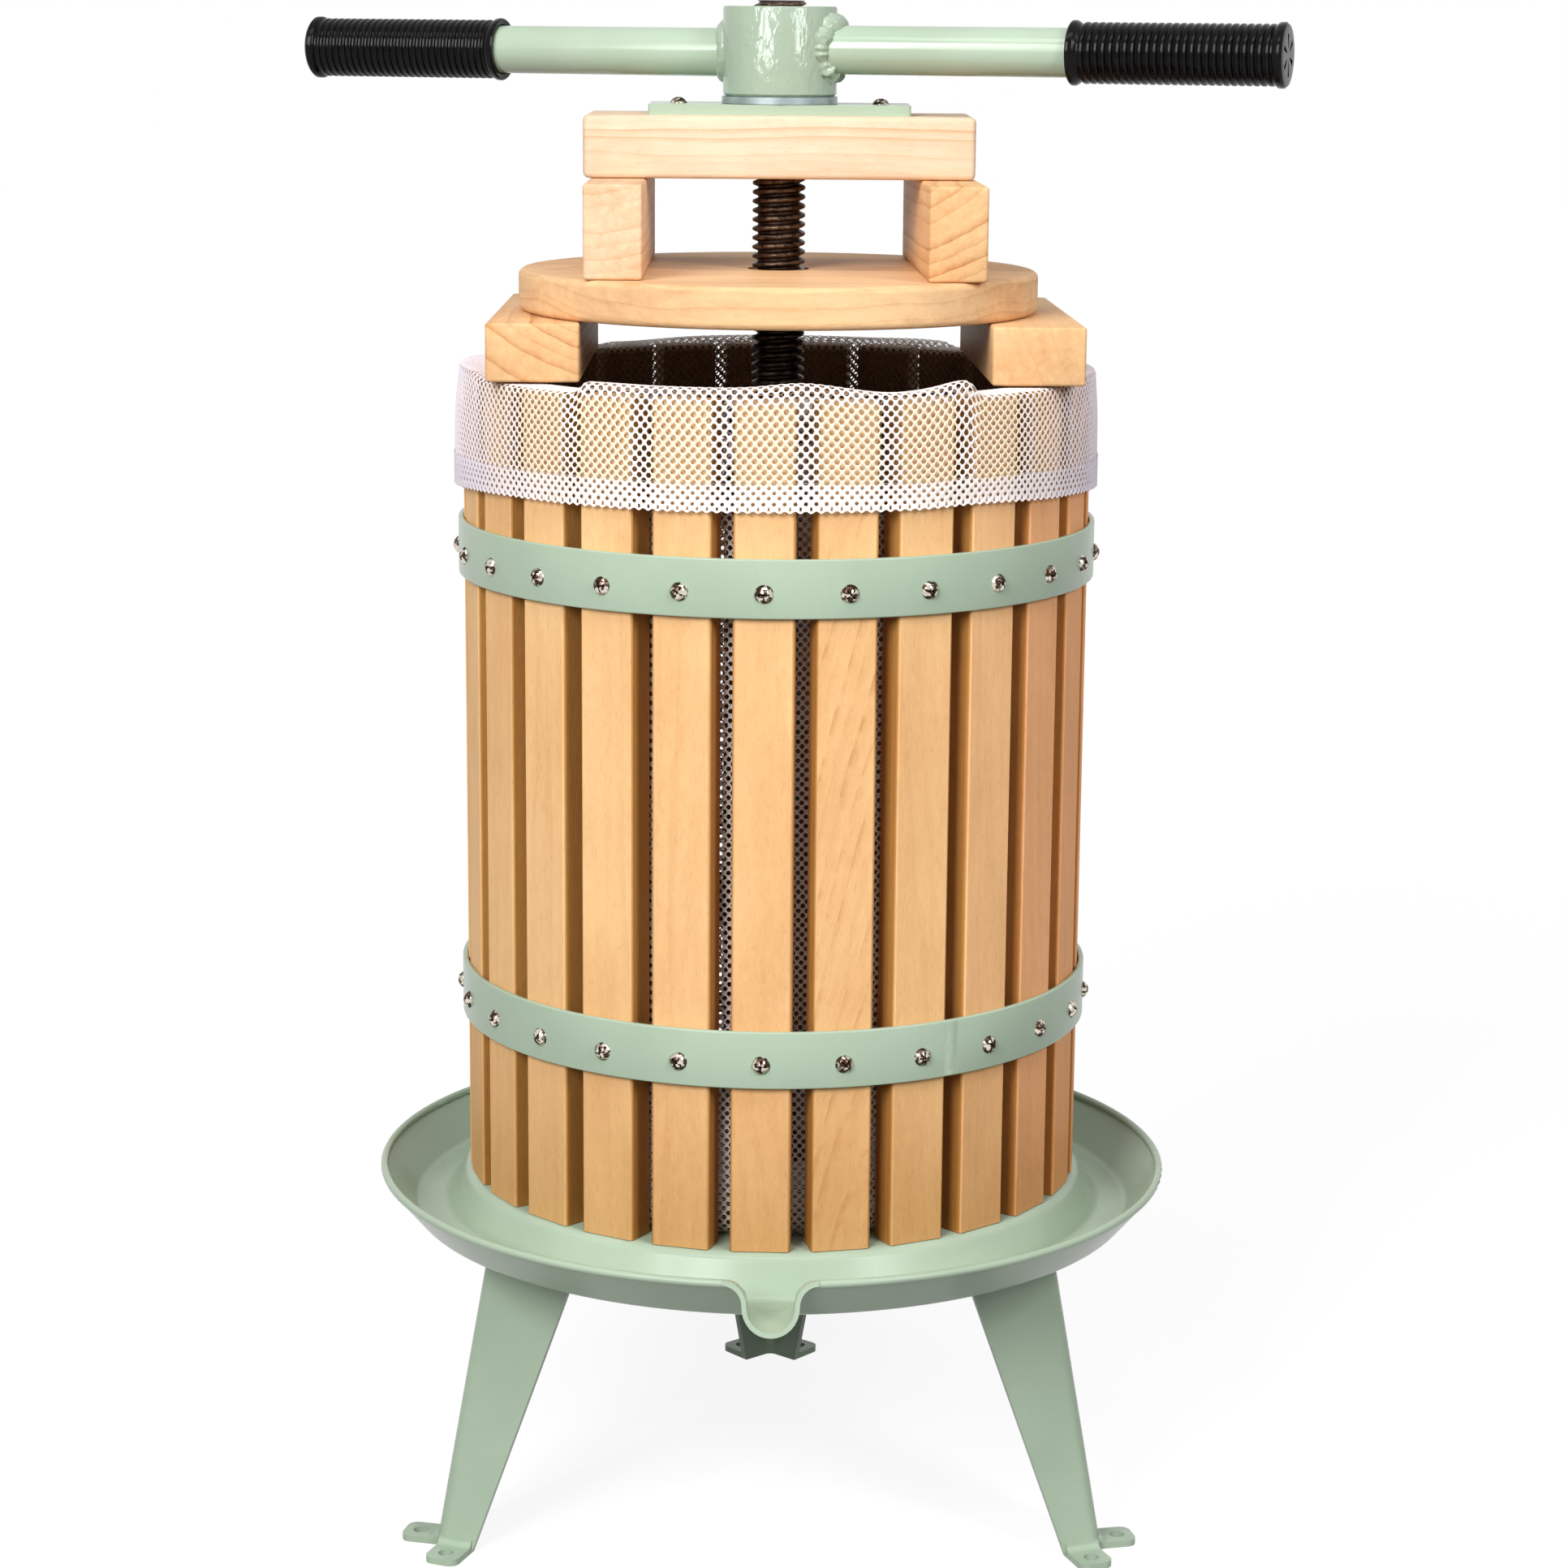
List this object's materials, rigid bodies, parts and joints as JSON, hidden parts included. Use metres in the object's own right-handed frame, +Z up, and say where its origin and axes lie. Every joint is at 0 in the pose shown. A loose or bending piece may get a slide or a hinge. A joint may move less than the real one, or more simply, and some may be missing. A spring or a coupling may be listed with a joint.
{
  "type": "fruit press",
  "caption": "Free-standing fruit press: slatted basket with straining bag on a juice tray with legs, pressing blocks, disc and beam under a screw nut with a two-handed handle.",
  "frame": {"origin": "on the floor, on the axis of the screw", "axes": "+Z up along the screw; the pouring lip points to -Y; +X is to the right seen from the lip"},
  "size_m": [0.4336, 0.3697, 0.6883],
  "materials": {
    "sage_paint": "satin stove enamel, pale sage green",
    "beech": "planed, vertical grain",
    "pine": "sawn, edges broken",
    "nickel": "nickel plated, domed head",
    "dark_steel": "rolled thread, dark oxide",
    "zinc": "zinc plated",
    "net": "open knitted net, white",
    "grip_black": "moulded ribs, glossy"
  },
  "bodies": {
    "base": {"tray": "sage_paint", "leg_left": "sage_paint", "leg_right": "sage_paint", "leg_back": "sage_paint", "spindle": "dark_steel", "base_washer": "zinc", "base_nut": "zinc"},
    "basket": {"slat_01": "beech", "slat_02": "beech", "slat_03": "beech", "slat_04": "beech", "slat_05": "beech", "slat_06": "beech", "slat_07": "beech", "slat_08": "beech", "slat_09": "beech", "slat_10": "beech", "slat_11": "beech", "slat_12": "beech", "slat_13": "beech", "slat_14": "beech", "slat_15": "beech", "slat_16": "beech", "slat_17": "beech", "slat_18": "beech", "slat_19": "beech", "slat_20": "beech", "slat_21": "beech", "slat_22": "beech", "slat_23": "beech", "slat_24": "beech", "slat_25": "beech", "hoop_lower": "sage_paint", "hoop_upper": "sage_paint", "hoop_screws_lower": "nickel", "hoop_screws_upper": "nickel", "straining_bag": "net"},
    "low_block_left": {"lower_block_left": "pine"},
    "low_block_right": {"lower_block_right": "pine"},
    "disc_front": {"press_disc_front": "beech"},
    "disc_back": {"press_disc_back": "beech"},
    "high_block_left": {"upper_block_left": "pine"},
    "high_block_right": {"upper_block_right": "pine"},
    "beam": {"top_beam": "pine", "beam_plate": "sage_paint", "beam_plate_screws": "nickel"},
    "washer": {"thrust_washer": "zinc"},
    "handle": {"hub_nut": "sage_paint", "handle_tube_left": "sage_paint", "handle_tube_right": "sage_paint", "grip_left": "grip_black", "grip_right": "grip_black"}
  },
  "joints": [
    {"name": "basket_turn", "type": "hinge", "parent": "base", "child": "basket", "pos_m": [0, 0, 0.3445], "axis": [0, 0, 1], "continuous": true},
    {"name": "low_block_left_slide", "type": "slide", "parent": "basket", "child": "low_block_left", "axis": [0, 1, 0], "range_m": [-0.03, 0.03]},
    {"name": "low_block_right_slide", "type": "slide", "parent": "basket", "child": "low_block_right", "axis": [-0.0349, 0.9994, 0], "range_m": [-0.03, 0.03]},
    {"name": "disc_front_slide", "type": "slide", "parent": "basket", "child": "disc_front", "axis": [0, -1, 0], "range_m": [0, 0.03]},
    {"name": "disc_back_slide", "type": "slide", "parent": "basket", "child": "disc_back", "axis": [0, 1, 0], "range_m": [0, 0.03]},
    {"name": "high_block_left_slide", "type": "slide", "parent": "basket", "child": "high_block_left", "axis": [0, 1, 0], "range_m": [-0.03, 0.03]},
    {"name": "high_block_right_slide", "type": "slide", "parent": "basket", "child": "high_block_right", "axis": [-0.0349, 0.9994, 0], "range_m": [-0.03, 0.03]},
    {"name": "beam_turn", "type": "hinge", "parent": "basket", "child": "beam", "pos_m": [0, 0, 0.6259], "axis": [0, 0, 1], "range_deg": [-30, 30]},
    {"name": "nut_travel", "type": "slide", "parent": "base", "child": "washer", "axis": [0, 0, 1], "range_m": [0, 0.0361]},
    {"name": "nut_turn", "type": "hinge", "parent": "washer", "child": "handle", "pos_m": [0, 0, 0.66655], "axis": [0, 0, 1], "range_deg": [0, 3240]}
  ],
  "couplings": [
    {"joint": "nut_travel", "follows": "nut_turn", "m_per_rad": 0.00063662}
  ]
}
